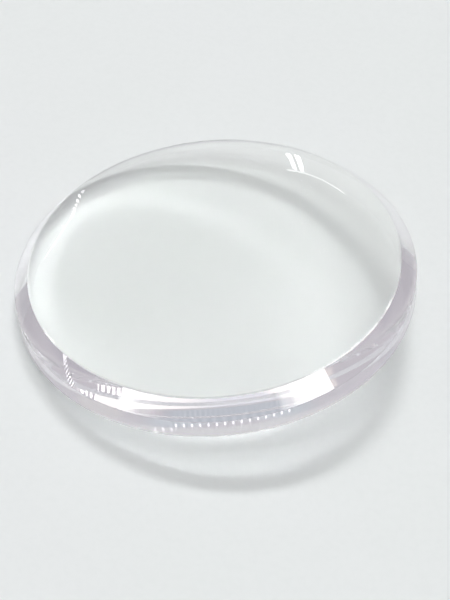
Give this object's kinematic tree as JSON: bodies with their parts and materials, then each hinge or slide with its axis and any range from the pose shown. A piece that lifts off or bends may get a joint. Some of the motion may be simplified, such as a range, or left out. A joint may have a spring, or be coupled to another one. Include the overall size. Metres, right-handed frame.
{
  "type": "watch crystal",
  "caption": "Loose round flat watch crystal of clear sapphire with a wide polished bevel; it closes the front of a watch case over the dial.",
  "frame": {"origin": "centre of the flat inner face, which is the lowest face of the crystal", "axes": "+Z along the axis of the round, from the flat inner face to the outer face inside the bevel"},
  "size_m": [0.0315, 0.0314, 0.003],
  "materials": {
    "crystal": "clear synthetic sapphire, polished on the faces, the bevel and the rim, with a faint cool tint"
  },
  "bodies": {
    "root": {"crystal": "crystal"}
  },
  "joints": []
}
